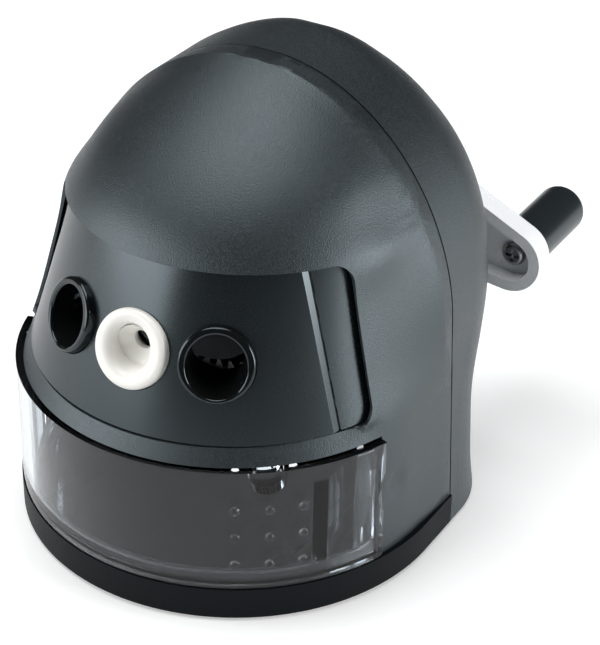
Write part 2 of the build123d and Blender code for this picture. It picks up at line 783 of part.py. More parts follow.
slab_heights = [slab_low + (slab_high - slab_low) * k / 5 for k in range(6)]
with BuildPart() as slab:
    loft([front_section(z, slab_drop) for z in slab_heights])
    split(bisect_by=slab_end(1), keep=Keep.BOTTOM)
    split(bisect_by=slab_end(-1), keep=Keep.BOTTOM)
    fillet(slab.faces().sort_by(SortBy.AREA)[-1].edges(), 0.5)

lean = atan(lean_slope + 2 * lean_curve * (hole_z - window_low))
face_r = front_reach(hole_z, slab_drop)


def lean_plane(deg, lift):
    """Plane on the slab at a guide, leaning with the dome."""
    s = sin(radians(deg))
    c = cos(radians(deg))
    out = (s * cos(lean), -c * cos(lean), sin(lean))
    mid = round_front(deg, face_r, hole_z)
    return Plane(tuple(m + lift * o for m, o in zip(mid, out)), x_dir=(c, s, 0), z_dir=out)


def bore_plane(deg, r):
    """Upright plane square to a guide's level bore."""
    s = sin(radians(deg))
    c = cos(radians(deg))
    return Plane(round_front(deg, r, hole_z), x_dir=(c, s, 0), z_dir=(s, -c, 0))


def jamb_reach(z):
    """Radius of the wings at height z: the dome's own at the window's end, less the wings' depth."""
    rise = (z - window_low) / (window_high - window_low)
    shift = dome_shift * rise**2
    arc_r = front_reach(z, wing_drop) + shift
    end = radians(window_deg)
    return sqrt(arc_r**2 - (shift * sin(end))**2) - shift * cos(end)


with BuildPart() as wings:
    with BuildSketch(meridian(0)):
        with BuildLine():
            rim = [(jamb_reach(z), z) for z in (slab_low, (slab_low + slab_high) / 2, slab_high)]
            ThreePointArc(*rim)
            Polyline(rim[2], (0, slab_high), (0, slab_low), rim[0])
        make_face()
    revolve(axis=dome_axis)
    loft([front_section(z, wing_drop) for z in slab_heights], mode=Mode.INTERSECT)

guides = ((0, bush_flange_r, bush_tube_r), (hole_pitch_deg, ring_flange_r, ring_tube_r),
          (-hole_pitch_deg, ring_flange_r, ring_tube_r))
with BuildPart() as selector_panel:
    add(wings.part)
    add(slab.part)
    with BuildSketch(meridian(wing_deg)):
        with Locations((body_half, hole_z)):
            Rectangle(2 * body_half, body_height)
    revolve(axis=dome_axis, revolution_arc=360 - 2 * wing_deg, mode=Mode.SUBTRACT)
    with BuildSketch(meridian(-wing_deg)):
        with BuildLine():
            lean_band(panel_low, panel_high, drum_drop, panel_in)
        make_face()
    revolve(axis=dome_axis, revolution_arc=2 * wing_deg)
    # the hollow inside the drum
    with BuildSketch(meridian(0)):
        with BuildLine():
            hollow = [(front_reach(z, panel_in), z) for z in (panel_low, (panel_low + panel_high) / 2, panel_high)]
            ThreePointArc(*hollow)
            Polyline(hollow[2], (0, panel_high), (0, panel_low), hollow[0])
        make_face()
    revolve(axis=dome_axis, mode=Mode.SUBTRACT)
    for deg, flange_r, tube_r in guides:
        with BuildSketch(lean_plane(deg, -guide_sink)):
            Circle(flange_r)
        extrude(amount=guide_sink + guide_proud + 3, mode=Mode.SUBTRACT)
        with BuildSketch(bore_plane(deg, guide_end)):
            Circle(tube_r)
        extrude(amount=face_r - guide_end + 2, mode=Mode.SUBTRACT)
selector_panel.part.label = "selector_panel"
export_step(selector_panel.part, "parts/selector_panel.step")


def guide_ring(deg, flange_r, tube_r, bore_r, outer_round, mouth_round):
    """A guide: leaning flange, level tube and bore, with rounded rims."""
    with BuildPart() as guide:
        with BuildSketch(bore_plane(deg, guide_end)):
            Circle(tube_r)
        extrude(amount=face_r - guide_end + 2)
        split(bisect_by=lean_plane(deg, 0.2 - guide_sink), keep=Keep.BOTTOM)
        with BuildSketch(lean_plane(deg, -guide_sink)):
            Circle(flange_r)
        extrude(amount=guide_sink + guide_proud)
        with BuildSketch(bore_plane(deg, guide_end)):
            Circle(bore_r)
        extrude(amount=face_r, mode=Mode.SUBTRACT)
        rim = guide.faces().sort_by(Axis(lean_plane(deg, 0).origin, lean_plane(deg, 0).z_dir))[-1]
        fillet(rim.outer_wire().edges(), outer_round)
        rim = guide.faces().sort_by(Axis(lean_plane(deg, 0).origin, lean_plane(deg, 0).z_dir))[-1]
        fillet(rim.inner_wires()[0].edges(), mouth_round)
    return guide.part


with BuildPart() as pencil_bush:
    add(guide_ring(0, bush_flange_r, bush_tube_r, bush_bore_r, 1.1, 1.9))
pencil_bush.part.label = "pencil_bush"
export_step(pencil_bush.part, "parts/pencil_bush.step")

with BuildPart() as right_guide:
    add(guide_ring(hole_pitch_deg, ring_flange_r, ring_tube_r, ring_bore_r, 0.65, 0.45))
right_guide.part.label = "right_guide"
export_step(right_guide.part, "parts/right_guide.step")

with BuildPart() as left_guide:
    add(guide_ring(-hole_pitch_deg, ring_flange_r, ring_tube_r, ring_bore_r, 0.65, 0.45))
left_guide.part.label = "left_guide"
export_step(left_guide.part, "parts/left_guide.step")
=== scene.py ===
"""Looks of a hand-crank desk pencil sharpener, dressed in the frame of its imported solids."""

import json
import logging
import math
from collections.abc import Callable, Iterable, Mapping, Sequence
from dataclasses import dataclass, field
from enum import Enum
from typing import Any

import bmesh
import bpy
from mathutils import Matrix, Vector


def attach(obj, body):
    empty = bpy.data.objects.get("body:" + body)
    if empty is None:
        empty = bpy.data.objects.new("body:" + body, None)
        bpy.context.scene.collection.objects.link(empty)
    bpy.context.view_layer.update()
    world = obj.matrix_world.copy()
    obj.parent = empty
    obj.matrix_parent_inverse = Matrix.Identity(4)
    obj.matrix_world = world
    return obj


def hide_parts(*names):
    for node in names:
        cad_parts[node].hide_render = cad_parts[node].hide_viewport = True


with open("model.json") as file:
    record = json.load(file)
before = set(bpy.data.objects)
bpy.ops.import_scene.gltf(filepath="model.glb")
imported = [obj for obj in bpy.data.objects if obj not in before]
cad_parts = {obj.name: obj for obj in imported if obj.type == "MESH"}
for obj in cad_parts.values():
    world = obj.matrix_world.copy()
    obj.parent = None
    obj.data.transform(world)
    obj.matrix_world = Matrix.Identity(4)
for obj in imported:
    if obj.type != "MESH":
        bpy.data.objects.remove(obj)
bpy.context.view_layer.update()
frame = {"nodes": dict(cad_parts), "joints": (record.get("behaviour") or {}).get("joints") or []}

MM = 0.001
PICTURE_LONG_SIDE = 645
SENSOR = 36.0
# Corners this near in metres are one, or lie on a cutting plane; edges sharper than this stay sharp.
MERGE = 1e-6
ON_PLANE = 1e-7
SHARP_DEG = 32.0

Colour = tuple[float, float, float]
Stops = tuple[tuple[float, float], ...]
log = logging.getLogger("sharpener")


class Body(Enum):
    """The part's bodies that added pieces ride on."""

    HOUSING = "housing"
    SELECTOR = "selector"
    DRAWER = "drawer"
    CRANK = "crank"


class Slot(Enum):
    """Names of the record's material slots, handed along with added pieces but not used."""

    SCREW = "screw_steel"
    WHITE = "white_plastic"
    GRAIN = "black_grain"
    SATIN = "black_satin"
    CLEAR = "clear_plastic"


class MouldTexture(Enum):
    """How a mould's face was finished: grain size and grain depth in millimetres."""

    SPARK = (0.22, 0.095)
    SATIN = (0.26, 0.005)
    POLISHED = (2.2, 0.004)
    ROUGH = (0.30, 0.020)


class Lay(Enum):
    """Which way the tool marks of a metal piece run: stretch of the marks along x, y and z."""

    TURNED = (1.0, 14.0, 1.0)
    GROUND = (9.0, 1.0, 9.0)
    CAST = (1.0, 1.0, 1.0)


class Wire:
    """An output socket with arithmetic: each operator adds one Math node to the tree."""

    def __init__(self, graph: "Graph", socket: bpy.types.NodeSocket) -> None:
        """Keeps the tree and the socket.

        Args:
            graph: The tree that new nodes go into.
            socket: The output socket that this wire starts from.
        """
        self.graph = graph
        self.socket = socket

    def _math(self, operation: str, *values: Any) -> "Wire":
        """Adds a Math node.

        Args:
            operation: The Math node's operation.
            values: Its inputs in order, as wires or numbers.
        Returns:
            The node's output.
        """
        return self.graph.add("ShaderNodeMath", {"operation": operation}, dict(enumerate(values)))

    def __add__(self, other: Any) -> "Wire":
        """This plus other."""
        return self._math("ADD", self, other)

    def __radd__(self, other: Any) -> "Wire":
        """Other plus this."""
        return self._math("ADD", other, self)

    def __sub__(self, other: Any) -> "Wire":
        """This less other."""
        return self._math("SUBTRACT", self, other)

    def __rsub__(self, other: Any) -> "Wire":
        """Other less this."""
        return self._math("SUBTRACT", other, self)

    def __mul__(self, other: Any) -> "Wire":
        """This times other."""
        return self._math("MULTIPLY", self, other)

    def __rmul__(self, other: Any) -> "Wire":
        """Other times this."""
        return self._math("MULTIPLY", other, self)

    def either(self, other: Any) -> "Wire":
        """The larger of this and other."""
        return self._math("MAXIMUM", self, other)

    def step(self, low: float, high: float) -> "Wire":
        """A smooth rise from 0 to 1.

        Args:
            low: The value at which the rise starts.
            high: The value at which it ends.
        Returns:
            The risen value.
        """
        return self.graph.add(
            "ShaderNodeMapRange",
            {"interpolation_type": "SMOOTHSTEP"},
            {"Value": self, "From Min": low, "From Max": high},
        )


class Graph:
    """A node tree that is written from expressions."""

    def __init__(self, tree: bpy.types.NodeTree) -> None:
        """Keeps the tree.

        Args:
            tree: A material's or a geometry tree.
        """
        self.tree = tree

    def add(
        self,
        kind: str,
        settings: Mapping[str, Any] | None = None,
        sockets: Mapping[str | int, Any] | None = None,
        out: str | int = 0,
    ) -> Wire:
        """Adds a node of any kind.

        Args:
            kind: The node's type.
            settings: Its properties, set first.
            sockets: The values or wires of its inputs, by name or number.
            out: The output that is handed back, by name or number.
        Returns:
            That output.
        """
        node = self.tree.nodes.new(kind)
        for name, value in (settings or {}).items():
            setattr(node, name, value)
        for key, value in (sockets or {}).items():
            self.feed(node.inputs[key], value)
        return Wire(self, node.outputs[out] if len(node.outputs) else None)

    def feed(self, socket: bpy.types.NodeSocket, value: Any) -> None:
        """Links a wire to an input, or sets the input's value.

        Args:
            socket: The input.
            value: A wire, or a plain value.
        """
        if isinstance(value, Wire):
            self.tree.links.new(value.socket, socket)
        else:
            socket.default_value = value

    def place(self, stretch: tuple[float, float, float] = (1.0, 1.0, 1.0)) -> Wire:
        """The surface point in the part's own frame.

        Args:
            stretch: How much a pattern is drawn together along x, y and z.
        Returns:
            The point as a vector.
        """
        point = self.add("ShaderNodeTexCoord", out="Object")
        if stretch == (1.0, 1.0, 1.0):
            return point
        return self.add("ShaderNodeMapping", {}, {"Vector": point, "Scale": stretch})

    def noise(self, place: Wire, size_mm: float, detail: float = 2.0, rough: float = 0.5) -> Wire:
        """Soft noise about 0.5.

        Args:
            place: The point that it is read at.
            size_mm: The width of its blotches in millimetres.
            detail: How many finer layers it has.
            rough: How strong those layers are.
        Returns:
            The noise's value.
        """
        sockets = {"Vector": place, "Scale": 1.0 / (size_mm * MM), "Detail": detail, "Roughness": rough}
        return self.add("ShaderNodeTexNoise", {}, sockets)

    def blend(self, share: Any, low: Colour, high: Colour) -> Wire:
        """A colour between two colours.

        Args:
            share: 0 gives low, 1 gives high.
            low: The first colour.
            high: The second colour.
        Returns:
            The mixed colour.
        """
        sockets = {0: share, 6: (*low, 1.0), 7: (*high, 1.0)}
        return self.add("ShaderNodeMix", {"data_type": "RGBA"}, sockets, out=2)

    def bump(self, height: Any, depth_mm: float) -> Wire:
        """A surface normal that follows a height.

        Args:
            height: The relief from 0 to 1.
            depth_mm: How deep 1 is, in millimetres.
        Returns:
            The bent normal.
        """
        sockets = {"Height": height, "Distance": depth_mm * MM, "Strength": 1.0}
        return self.add("ShaderNodeBump", {}, sockets)


def shaded(colour: Colour, factor: float) -> Colour:
    """A colour made lighter or darker.

    Args:
        colour: The colour.
        factor: Above 1 is lighter.
    Returns:
        The new colour.
    """
    return tuple(min(1.0, c * factor) for c in colour)


class Surface:
    """A material under construction: its tree, and the one shader that makes its surface."""

    def __init__(self, name: str, **fixed: Any) -> None:
        """Starts a material.

        Args:
            name: The material's name.
            fixed: Values that are the same all over, by socket name with _ for a space.
        """
        self.material = bpy.data.materials.new(name)
        self.material.use_nodes = True
        self.graph = Graph(self.material.node_tree)
        self.shader = self.material.node_tree.nodes["Principled BSDF"]
        for key, value in fixed.items():
            self.shader.inputs[key.replace("_", " ")].default_value = value

    def varies(self, **wires: Wire) -> bpy.types.Material:
        """Links what changes over the surface.

        Args:
            wires: Wires by socket name with _ for a space.
        Returns:
            The finished material.
        """
        for key, wire in wires.items():
            self.graph.feed(self.shader.inputs[key.replace("_", " ")], wire)
        return self.material


@dataclass(frozen=True)
class MouldedPlastic:
    """Opaque injection-moulded plastic that carries the texture of its mould."""

    name: str
    colour: Colour
    roughness: float
    texture: MouldTexture
    drift: float = 0.12
    smudge: float = 0.05
    specular: float = 0.5
    sheen_tint: Colour = (1.0, 1.0, 1.0)
    handled_mm: float = 26.0
    fleck: float = 0.0
    pit_density: float = 0.8
    pit_share: float = 0.35
    fleck_density: float = 0.9
    slow_tone: float = 1.6
    grain_tone: float = 0.5
    fleck_tone: float = 8.0
    fleck_gloss: float = 0.5

    def build(self) -> bpy.types.Material:
        """Makes the material.

        Returns:
            The material, with grain in its relief and gloss and slow drift in its colour.
        """
        size, depth = self.texture.value
        tint = (*self.sheen_tint, 1.0)
        surface = Surface(self.name, Specular_IOR_Level=self.specular, Specular_Tint=tint)
        graph = surface.graph
        place = graph.place()
        grain = graph.noise(place, size, detail=3.0, rough=0.62)
        cells = {"Vector": place, "Scale": self.pit_density / (size * MM)}
        pits = graph.add("ShaderNodeTexVoronoi", {"feature": "SMOOTH_F1"}, cells)
        slow = graph.noise(place, self.handled_mm, detail=2.0)
        relief = grain * (1 - self.pit_share) + pits * self.pit_share
        cells = {"Vector": place, "Scale": self.fleck_density / (size * MM)}
        flecks = graph.add("ShaderNodeTexVoronoi", {"feature": "F1"}, cells, out="Color") - 0.5
        tone = (slow - 0.5) * self.slow_tone + (grain - 0.5) * self.grain_tone
        tone = tone + flecks * (self.fleck * self.fleck_tone) + 0.5
        colour = graph.blend(tone, shaded(self.colour, 1 - self.drift), shaded(self.colour, 1 + self.drift))
        gloss = self.roughness + (slow - 0.5) * self.smudge * 2 + (grain - 0.5) * self.smudge
        gloss = gloss + flecks * (self.fleck * self.fleck_gloss)
        return surface.varies(Base_Color=colour, Roughness=gloss, Normal=graph.bump(relief, depth))


@dataclass(frozen=True)
class ClearPlastic:
    """Clear polystyrene with faint flow lines from its gate."""

    name: str
    tint: Colour
    roughness: float
    index: float
    drift: float = 0.02
    flow_mm: float = 9.0
    flow_depth_mm: float = 0.02
    flow_stretch: tuple[float, float, float] = (1.0, 1.0, 0.25)
    haze_mm: float = 3.0
    haze_span: tuple[float, float] = (0.5, 0.8)
    haze_gloss: float = 0.03

    def build(self) -> bpy.types.Material:
        """Makes the material.

        Returns:
            The material, with slow waves in its surface.
        """
        surface = Surface(self.name, Transmission_Weight=1.0, IOR=self.index)
        graph = surface.graph
        place = graph.place()
        flow = graph.noise(graph.place(self.flow_stretch), self.flow_mm, detail=2.0)
        haze = graph.noise(place, self.haze_mm, detail=3.0)
        colour = graph.blend(flow, shaded(self.tint, 1 - self.drift), self.tint)
        gloss = self.roughness + haze.step(*self.haze_span) * self.haze_gloss
        normal = graph.bump(flow, self.flow_depth_mm)
        return surface.varies(Base_Color=colour, Roughness=gloss, Normal=normal)


@dataclass(frozen=True)
class Metal:
    """Bare or plated metal with the marks of the tool that cut it."""

    name: str
    colour: Colour
    roughness: float
    lay: Lay
    mark_mm: float = 0.25
    mark_depth_mm: float = 0.004
    mark_gloss: float = 0.2
    patch_mm: float = 4.0
    patch_gloss: float = 0.15
    dull: float = 0.8
    bright: float = 1.1

    def build(self) -> bpy.types.Material:
        """Makes the material.

        Returns:
            The material, with tool marks in its relief and dull patches in its gloss.
        """
        surface = Surface(self.name, Metallic=1.0)
        graph = surface.graph
        marks = graph.noise(graph.place(self.lay.value), self.mark_mm * max(self.lay.value), detail=3.0)
        patches = graph.noise(graph.place(), self.patch_mm, detail=2.0)
        colour = graph.blend(patches, shaded(self.colour, self.dull), shaded(self.colour, self.bright))
        gloss = self.roughness + (marks - 0.5) * self.mark_gloss + (patches - 0.5) * self.patch_gloss
        normal = graph.bump(marks, self.mark_depth_mm)
        return surface.varies(Base_Color=colour, Roughness=gloss, Normal=normal)


COLD_SHEEN = (0.78, 0.93, 1.0)
GRAINED_BLACK = MouldedPlastic(
    "grained_black",
    (0.017, 0.021, 0.023),
    0.40,
    MouldTexture.SPARK,
    specular=0.75,
    sheen_tint=COLD_SHEEN,
    fleck=0.34,
)
SATIN_BLACK = MouldedPlastic(
    "satin_black", (0.005, 0.007, 0.008), 0.28, MouldTexture.SATIN, specular=0.7, sheen_tint=COLD_SHEEN
)
# The base's black is set darker and duller than the shells' grained black: painted shade for the shaded floor
# that the base reflects.
SHADED_BASE_BLACK = MouldedPlastic(
    "base_black_painted_shade", (0.005, 0.006, 0.007), 0.48, MouldTexture.SPARK, specular=0.08, sheen_tint=COLD_SHEEN
)
GLOSS_BLACK = MouldedPlastic(
    "gloss_black", (0.005, 0.006, 0.006), 0.12, MouldTexture.POLISHED, sheen_tint=COLD_SHEEN
)
GRIP_BLACK = MouldedPlastic(
    "grip_black", (0.014, 0.018, 0.021), 0.30, MouldTexture.SATIN, sheen_tint=COLD_SHEEN
)
FRAME_BLACK = MouldedPlastic("frame_black", (0.010, 0.010, 0.011), 0.5, MouldTexture.SATIN)
WARM_WHITE = MouldedPlastic("warm_white", (0.86, 0.85, 0.81), 0.30, MouldTexture.POLISHED, drift=0.02)
COOL_WHITE = MouldedPlastic("cool_white", (0.82, 0.84, 0.86), 0.28, MouldTexture.POLISHED, drift=0.02)
GEAR_BLACK = MouldedPlastic("gear_black", (0.012, 0.012, 0.013), 0.4, MouldTexture.POLISHED)
FOOT_RUBBER = MouldedPlastic("foot_rubber", (0.03, 0.03, 0.03), 0.8, MouldTexture.ROUGH, specular=0.3)
DRAWER_CLEAR = ClearPlastic("drawer_clear", (0.88, 0.925, 0.96), 0.015, 1.34)
RAIL_CLEAR = ClearPlastic("rail_clear", (0.97, 0.985, 1.0), 0.22, 1.49)
SCREW_STEEL = Metal("screw_steel", (0.30, 0.30, 0.31), 0.32, Lay.CAST)
SHAFT_STEEL = Metal("shaft_steel", (0.60, 0.60, 0.62), 0.25, Lay.TURNED)
CUTTER_STEEL = Metal("cutter_steel", (0.36, 0.36, 0.38), 0.30, Lay.GROUND)
# The zinc carrier is given a near-black colour: painted shade for the dark inside of the housing, seen
# through the guides' bores.
SHADED_CARRIER_ZINC = Metal("carrier_zinc", (0.030, 0.030, 0.032), 0.60, Lay.CAST, mark_mm=0.5, mark_depth_mm=0.02)
BUSH_BRASS = Metal("bush_brass", (0.72, 0.55, 0.30), 0.30, Lay.TURNED)

Finish = MouldedPlastic | ClearPlastic | Metal


class Wardrobe:
    """Every finish that has been made so far, so that each is made once."""

    def __init__(self) -> None:
        """Starts with no finish made."""
        self.made: dict[str, bpy.types.Material] = {}

    def of(self, finish: Finish) -> bpy.types.Material:
        """The material of a finish.

        Args:
            finish: The finish.
        Returns:
            Its material.
        """
        if finish.name not in self.made:
            self.made[finish.name] = finish.build()
        return self.made[finish.name]

    def dress(self, nodes: Mapping[str, Finish]) -> None:
        """Gives solids their finishes.

        Args:
            nodes: A finish for each node's name.
        """
        for node, finish in nodes.items():
            materials = frame["nodes"][node].data.materials
            materials.clear()
            materials.append(self.of(finish))
            log.info("%s dressed in %s", node, finish.name)


def fresh_object(name: str, mesh: bpy.types.Mesh) -> bpy.types.Object:
    """Puts a mesh into the scene.

    Args:
        name: The object's name.
        mesh: Its mesh, in the part's frame.
    Returns:
        The new object, at the origin.
    """
    made = bpy.data.objects.new(name, mesh)
    bpy.context.scene.collection.objects.link(made)
    return made


def mount(piece: bpy.types.Object, body: Body) -> None:
    """Makes an added piece ride on a body.

    Args:
        piece: The piece.
        body: The body that carries it.
    """
    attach(piece, body.value)
    log.info("%s rides on %s, %d faces", piece.name, body.value, len(piece.data.polygons))


@dataclass
class Growth:
    """A geometry tree that sets copies of one shape on points that carry a direction."""

    name: str
    inputs: Mapping[str, float]
    graph: Graph = field(init=False)
    start: Wire = field(init=False)

    def __post_init__(self) -> None:
        """Makes the tree with its named inputs."""
        tree = bpy.data.node_groups.new(self.name, "GeometryNodeTree")
        sides = tree.interface
        sides.new_socket("Geometry", in_out="INPUT", socket_type="NodeSocketGeometry")
        sides.new_socket("Geometry", in_out="OUTPUT", socket_type="NodeSocketGeometry")
        for label in self.inputs:
            sides.new_socket(label, in_out="INPUT", socket_type="NodeSocketFloat")
        sides.new_socket("Finish", in_out="INPUT", socket_type="NodeSocketMaterial")
        self.graph = Graph(tree)
        self.start = self.graph.add("NodeGroupInput")

    def value(self, label: str) -> Wire:
        """One of the tree's inputs.

        Args:
            label: The input's name.
        Returns:
            Its wire.
        """
        return Wire(self.graph, self.start.socket.node.outputs[label])

    def settle(self, shape: Wire) -> None:
        """Ends the tree: copies of a shape stand on the points, along each point's direction.

        Args:
            shape: The shape that is repeated, along z.
        """
        graph = self.graph
        lay = graph.add("GeometryNodeInputNamedAttribute", {"data_type": "FLOAT_VECTOR"}, {"Name": "lay"})
        turn = graph.add("FunctionNodeAlignRotationToVector", {"axis": "Z"}, {"Vector": lay})
        sockets = {"Points": self.value("Geometry"), "Instance": shape, "Rotation": turn}
        copies = graph.add("GeometryNodeInstanceOnPoints", {}, sockets)
        solid = graph.add("GeometryNodeRealizeInstances", {}, {"Geometry": copies})
        sockets = {"Geometry": solid, "Material": self.value("Finish")}
        dressed = graph.add("GeometryNodeSetMaterial", {}, sockets)
        graph.add("NodeGroupOutput", {}, {"Geometry": dressed})

    def grow(
        self, name: str, seats: Iterable[tuple[Vector, Vector]], finish: bpy.types.Material
    ) -> bpy.types.Object:
        """Runs the tree and keeps its result as a plain mesh.

        Args:
            name: The piece's name.
            seats: Points with their directions.
            finish: The material of the result.
        Returns:
            The new piece.
        """
        listed = list(seats)
        mesh = bpy.data.meshes.new(name + "_seats")
        mesh.from_pydata([tuple(point) for point, _ in listed], [], [])
        lay = mesh.attributes.new("lay", "FLOAT_VECTOR", "POINT")
        for item, (_, direction) in zip(lay.data, listed):
            item.vector = direction
        seeds = fresh_object(name + "_seats", mesh)
        modifier = seeds.modifiers.new(self.name, "NODES")
        modifier.node_group = self.graph.tree
        for item in self.graph.tree.interface.items_tree:
            if item.in_out == "INPUT" and item.name in self.inputs:
                modifier[item.identifier] = self.inputs[item.name]
            elif item.name == "Finish":
                modifier[item.identifier] = finish
        depsgraph = bpy.context.evaluated_depsgraph_get()
        plain = bpy.data.meshes.new_from_object(seeds.evaluated_get(depsgraph))
        bpy.data.objects.remove(seeds)
        plain.name = name
        return fresh_object(name, plain)


def islands(node: str) -> list[list[Vector]]:
    """The separate solids of a node, such as the screws of a set.

    Args:
        node: The node's name.
    Returns:
        The corners of each solid.
    """
    work = bmesh.new()
    work.from_mesh(frame["nodes"][node].data)
    bmesh.ops.remove_doubles(work, verts=work.verts, dist=MERGE)
    found, seen = [], set()
    for first in work.verts:
        if first in seen:
            continue
        group, ahead = [], [first]
        seen.add(first)
        while ahead:
            corner = ahead.pop()
            group.append(corner.co.copy())
            for edge in corner.link_edges:
                other = edge.other_vert(corner)
                if other not in seen:
                    seen.add(other)
                    ahead.append(other)
        found.append(group)
    work.free()
    return found


def screw_seat(corners: list[Vector], axis: int) -> tuple[Vector, Vector]:
    """Where a screw's thread ends and which way it runs.

    Args:
        corners: The screw's corners.
        axis: The number of the axis that it lies along.
    Returns:
        The middle of its tip and the direction from its tip to its head.
    """
    low = Vector([min(c[i] for c in corners) for i in range(3)])
    high = Vector([max(c[i] for c in corners) for i in range(3)])
    middle = (low + high) / 2
    widest = max(corners, key=lambda c: (c - middle).length - abs(c[axis] - middle[axis]))
    along = Vector((0.0, 0.0, 0.0))
    along[axis] = math.copysign(1.0, widest[axis] - middle[axis])
    tip = middle.copy()
    tip[axis] = low[axis] if along[axis] > 0 else high[axis]
    return tip, along


@dataclass
class ScrewThreads:
    """The thread of every small screw, as one winding ridge each."""

    root_mm: float = 1.32
    ridge_mm: float = 0.32
    pitch_mm: float = 1.05
    turns: float = 6.0
    sides: int = 20
    corners: int = 3
    start_share: float = 0.75

    def tree(self) -> Growth:
        """Makes the geometry tree of one thread.

        Returns:
            The tree.
        """
        sizes = {"Root": self.root_mm * MM, "Ridge": self.ridge_mm * MM, "Pitch": self.pitch_mm * MM}
        growth = Growth("screw_thread", {**sizes, "Turns": self.turns})
        graph = growth.graph
        root, turns = growth.value("Root"), growth.value("Turns")
        sockets = {
            "Resolution": self.sides,
            "Rotations": turns,
            "Start Radius": root * self.start_share,
            "End Radius": root,
            "Height": growth.value("Pitch") * turns,
        }
        helix = graph.add("GeometryNodeCurveSpiral", {}, sockets)
        sockets = {"Resolution": self.corners, "Radius": growth.value("Ridge")}
        edge = graph.add("GeometryNodeCurvePrimitiveCircle", {}, sockets)
        sockets = {"Curve": helix, "Profile Curve": edge, "Fill Caps": True}
        growth.settle(graph.add("GeometryNodeCurveToMesh", {}, sockets))
        return growth

    def build(self, wardrobe: Wardrobe) -> None:
        """Winds a thread on each screw of each set.

        Args:
            wardrobe: Where the screws' finish comes from.
        """
        tree = self.tree()
        sets = {"base_screws": (2, Body.HOUSING), "case_screws": (1, Body.HOUSING)}
        sets |= {"frame_screws": (1, Body.HOUSING), "crank_screw": (1, Body.CRANK)}
        for node, (axis, body) in sets.items():
            seats = [screw_seat(corners, axis) for corners in islands(node)]
            mount(tree.grow(node + "_thread", seats, wardrobe.of(SCREW_STEEL)), body)


def direction(azimuth: float, elevation: float = 0.0) -> Vector:
    """The way from the object to something that stands round it.

    Args:
        azimuth: Degrees from the front, growing towards the right.
        elevation: Degrees above the table.
    Returns:
        A vector of length one.
    """
    a, e = math.radians(azimuth), math.radians(elevation)
    return Vector((math.sin(a) * math.cos(e), -math.cos(a) * math.cos(e), math.sin(e)))


def dome_axis() -> float:
    """How far back the upright axis stands that the selector turns on, in millimetres."""
    turn = next(joint for joint in frame["joints"] if joint["name"] == "selector_turn")
    return turn["pos_m"][1] / MM


def off_front(spot: Vector) -> float:
    """How many degrees a point in millimetres lies to either side of the front, round the dome's axis."""
    return abs(math.degrees(math.atan2(spot.x, dome_axis() - spot.y)))


def ramp(value: float, stops: Stops) -> float:
    """A value that runs straight from stop to stop.

    Args:
        value: Where it is read.
        stops: Places with their values, in rising order.
    Returns:
        The value there.
    """
    if value <= stops[0][0]:
        return stops[0][1]
    for (low, first), (high, last) in zip(stops, stops[1:]):
        if value <= high:
            return first + (last - first) * (value - low) / (high - low)
    return stops[-1][1]


def formed(
    name: str,
    work: bmesh.types.BMesh,
    finish: bpy.types.Material,
    smooth: bool = True,
    normals: Sequence[tuple[float, float, float]] = (),
) -> bpy.types.Mesh:
    """Turns a worked form into a mesh.

    Args:
        name: The mesh's name.
        work: The form, which is freed.
        finish: Its material.
        smooth: Whether its gentle edges are shaded round.
        normals: The normals of its corners, taken if there is one for each.
    Returns:
        The mesh.
    """
    mesh = bpy.data.meshes.new(name)
    work.to_mesh(mesh)
    work.free()
    mesh.materials.append(finish)
    if smooth:
        mesh.polygons.foreach_set("use_smooth", [True] * len(mesh.polygons))
        if len(mesh.loops) == len(normals):
            mesh.normals_split_custom_set(normals)
        else:
            mesh.set_sharp_from_angle(angle=math.radians(SHARP_DEG))
    return mesh


@dataclass
class Skin:
    """A merged copy of a solid's mesh, which is worked further and then stands for its node."""

    node: str
    along_deg: float = 12.0
    work: bmesh.types.BMesh = field(init=False)
    normals: list[tuple[float, float, float]] = field(init=False)

    def __post_init__(self) -> None:
        """Takes the copy."""
        solid = frame["nodes"][self.node].data
        self.normals = [tuple(normal.vector) for normal in solid.corner_normals]
        self.work = bmesh.new()
        self.work.from_mesh(solid)
        bmesh.ops.remove_doubles(self.work, verts=self.work.verts, dist=MERGE)

    def cut(self, point: Vector, normal: Vector) -> None:
        """Adds an edge where a plane passes.

        Args:
            point: A point of the plane, in millimetres.
            normal: The way that it faces.
        """
        geometry = [*self.work.verts, *self.work.edges, *self.work.faces]
        bmesh.ops.bisect_plane(self.work, geom=geometry, dist=ON_PLANE, plane_co=point * MM, plane_no=normal)

    def move(self, place: Callable[[Vector], Vector]) -> None:
        """Moves every corner.

        Args:
            place: Gives a corner's new place from its old one, in millimetres.
        """
        moved = [place(corner.co / MM) * MM for corner in self.work.verts]
        for corner, spot in zip(self.work.verts, moved):
            corner.co = spot

    def smooth(self, mesh: bpy.types.Mesh, true_normal: Callable[[Vector, Vector], Vector | None]) -> None:
        """Gives a curved face its own normals, where its triangles lie along it.

        Args:
            mesh: The worked mesh.
            true_normal: Gives the face's normal from a corner and its facet's middle, or None off it.
        """
        normals = [normal.vector.copy() for normal in mesh.corner_normals]
        for face in mesh.polygons:
            own = [true_normal(mesh.vertices[corner].co / MM, face.center / MM) for corner in face.vertices]
            if None in own or face.normal.dot(own[0]) < math.cos(math.radians(self.along_deg)):
                continue
            for loop, normal in zip(face.loop_indices, own):
                normals[loop] = normal
        mesh.normals_split_custom_set(normals)

    def stand_in(
        self,
        body: Body,
        slot: Slot,
        finish: bpy.types.Material,
        true_normal: Callable[[Vector, Vector], Vector | None] | None = None,
    ) -> None:
        """Puts the worked mesh in its node's place.

        Args:
            body: The body that carries it.
            slot: Not used.
            finish: Its material.
            true_normal: Gives a curved face's normal from a corner and its facet's middle, or None off it.
        """
        name = self.node + "_skin"
        mesh = formed(name, self.work, finish, normals=self.normals)
        if true_normal:
            self.smooth(mesh, true_normal)
        piece = fresh_object(name, mesh)
        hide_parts(self.node)
        mount(piece, body)


